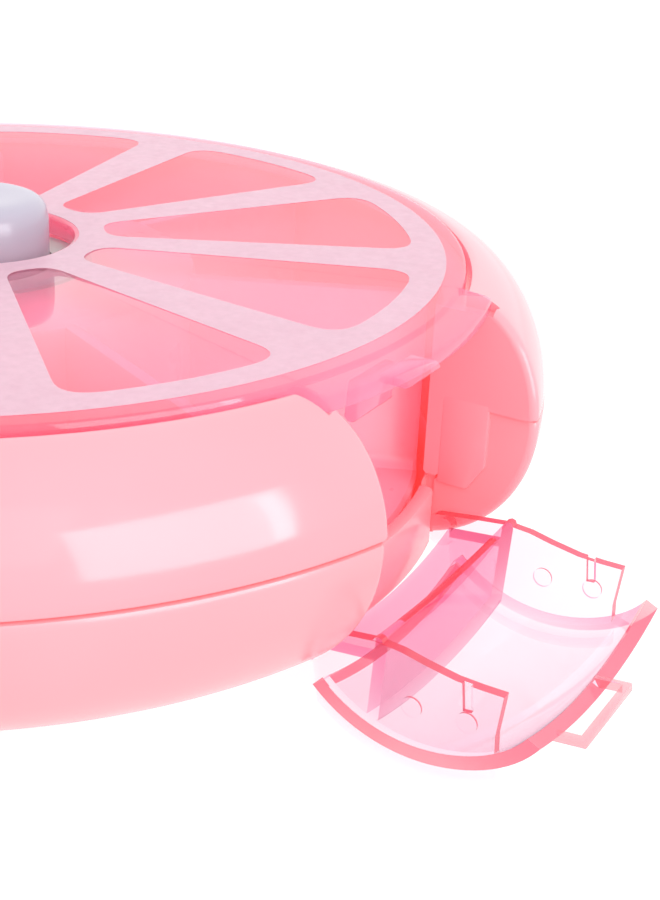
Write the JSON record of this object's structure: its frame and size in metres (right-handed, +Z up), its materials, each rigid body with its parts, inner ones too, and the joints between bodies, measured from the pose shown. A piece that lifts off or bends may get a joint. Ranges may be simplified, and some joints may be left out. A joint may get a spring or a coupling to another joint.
{
  "type": "rotary push-button pill case",
  "caption": "Round pill case with a clear lid over an indexing tray of compartments, a push button at its centre and a clear door that swings down at its side.",
  "frame": {"origin": "centre of the case's flat underside, on the tray's axis", "axes": "+Z up along the tray's and button's axis, -Y out through the door opening, +X to the right of someone facing the door"},
  "size_m": [0.09, 0.1016, 0.0292],
  "materials": {
    "case_pink": "glossy pale pink moulding",
    "clear_pink": "clear rose polystyrene, polished",
    "tray_pink": "satin translucent rose",
    "white_button": "glossy white",
    "white_acetal": "natural white acetal",
    "spring_steel": "bright spring wire"
  },
  "bodies": {
    "case": {"lower_shell": "case_pink", "upper_shell": "case_pink", "lid": "clear_pink", "return_spring": "spring_steel", "index_pawl": "white_acetal"},
    "tray": {"tray": "tray_pink"},
    "crown": {"drive_crown": "white_acetal"},
    "button": {"push_button": "white_button"},
    "door": {"door": "clear_pink"}
  },
  "joints": [
    {"name": "button_press", "type": "slide", "parent": "case", "child": "button", "axis": [0, 0, -1], "range_m": [0, 0.0025], "stiffness_N_per_m": 800, "deforming": ["return_spring"]},
    {"name": "crown_turn", "type": "hinge", "parent": "case", "child": "crown", "pos_m": [0, 0, 0.0145], "axis": [0, 0, 1], "range_deg": [0, 51.43]},
    {"name": "tray_turn", "type": "hinge", "parent": "case", "child": "tray", "pos_m": [0, 0, 0.011], "axis": [0, 0, 1], "continuous": true},
    {"name": "door_swing", "type": "hinge", "parent": "case", "child": "door", "pos_m": [0, -0.03695, 0.00195], "axis": [-1, 0, 0], "range_deg": [0, 84]}
  ],
  "couplings": [
    {"joint": "crown_turn", "follows": "button_press", "rad_per_m": 359.04}
  ]
}
